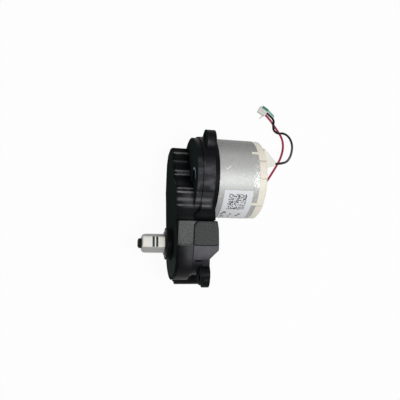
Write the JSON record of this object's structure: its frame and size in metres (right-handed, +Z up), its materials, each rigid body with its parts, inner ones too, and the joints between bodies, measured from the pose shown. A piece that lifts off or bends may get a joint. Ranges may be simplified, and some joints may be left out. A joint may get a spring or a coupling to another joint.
{
  "type": "robot vacuum brush motor",
  "caption": "Brush drive for a robot vacuum: can motor beside an offset black gear case with screw ears, a steel square drive, and short leads to a small plug.",
  "frame": {"origin": "on the output shaft's axis, at the front of the nose that the square drive comes out of", "axes": "+X along the shafts from the drive towards the motor's rear, +Y from the output shaft to the motor, +Z up with the module lying on its flat underside"},
  "size_m": [0.0703, 0.0782, 0.0346],
  "materials": {
    "case_plastic": "satin",
    "seal_plastic": "gloss",
    "bush_bronze": "sintered",
    "shaft_steel": "ground",
    "tip_plastic": "satin",
    "spacer_steel": "turned",
    "gear_plastic": "moulded",
    "pinion_brass": "hobbed",
    "can_zinc": "zinc plated",
    "cap_ivory": "satin",
    "boot_ivory": "satin",
    "contact_tin": "tinned",
    "magnet_ferrite": "sintered",
    "clip_steel": "sprung",
    "core_steel": "laminated",
    "coil_copper": "enamelled",
    "segment_copper": "turned",
    "ring_ceramic": "matte",
    "arm_brass": "sprung",
    "carbon": "matte",
    "screw_zinc": "zinc plated",
    "label_white": "paper",
    "wire_red": "gloss",
    "wire_black": "gloss",
    "plug_white": "satin",
    "tape_green": "gloss",
    "film_green": "gloss"
  },
  "bodies": {
    "case": {"gear_cover": "case_plastic", "motor_housing": "case_plastic", "shaft_seal": "seal_plastic", "front_bush": "bush_bronze", "rear_bush": "bush_bronze", "motor_front_bush": "bush_bronze", "motor_rear_bush": "bush_bronze", "idler_pin": "shaft_steel", "output_washer": "spacer_steel", "idler_washer_front": "spacer_steel", "idler_washer_rear": "spacer_steel", "motor_can": "can_zinc", "motor_end_cap": "cap_ivory", "terminal_boot": "boot_ivory", "terminal_red": "contact_tin", "terminal_black": "contact_tin", "plug_contacts": "contact_tin", "magnet_upper": "magnet_ferrite", "magnet_lower": "magnet_ferrite", "magnet_clip": "clip_steel", "brush_arm_left": "arm_brass", "brush_arm_right": "arm_brass", "carbon_brush_left": "carbon", "carbon_brush_right": "carbon", "motor_screws": "screw_zinc", "case_screws": "screw_zinc", "motor_label": "label_white", "red_wire": "wire_red", "black_wire": "wire_black", "wire_connector": "plug_white", "plug_tie": "plug_white", "green_tape": "tape_green", "tape_film": "film_green"},
    "output": {"output_shaft": "shaft_steel", "shaft_tip": "tip_plastic", "output_gear": "gear_plastic", "output_spacer": "spacer_steel"},
    "idler": {"idler_gear": "gear_plastic"},
    "rotor": {"motor_shaft": "shaft_steel", "motor_pinion": "pinion_brass", "armature_core": "core_steel", "armature_windings": "coil_copper", "commutator": "segment_copper", "varistor_ring": "ring_ceramic"}
  },
  "joints": [
    {"name": "output_spin", "type": "hinge", "parent": "case", "child": "output", "pos_m": [0, 0, 0], "axis": [1, 0, 0], "continuous": true},
    {"name": "idler_spin", "type": "hinge", "parent": "case", "child": "idler", "pos_m": [0, 0.01413, -0.00407], "axis": [1, 0, 0], "continuous": true},
    {"name": "rotor_spin", "type": "hinge", "parent": "case", "child": "rotor", "pos_m": [0, 0.027, 0], "axis": [1, 0, 0], "continuous": true}
  ],
  "couplings": [
    {"joint": "output_spin", "follows": "rotor_spin", "ratio": 0.089286},
    {"joint": "idler_spin", "follows": "rotor_spin", "ratio": -0.28571}
  ]
}
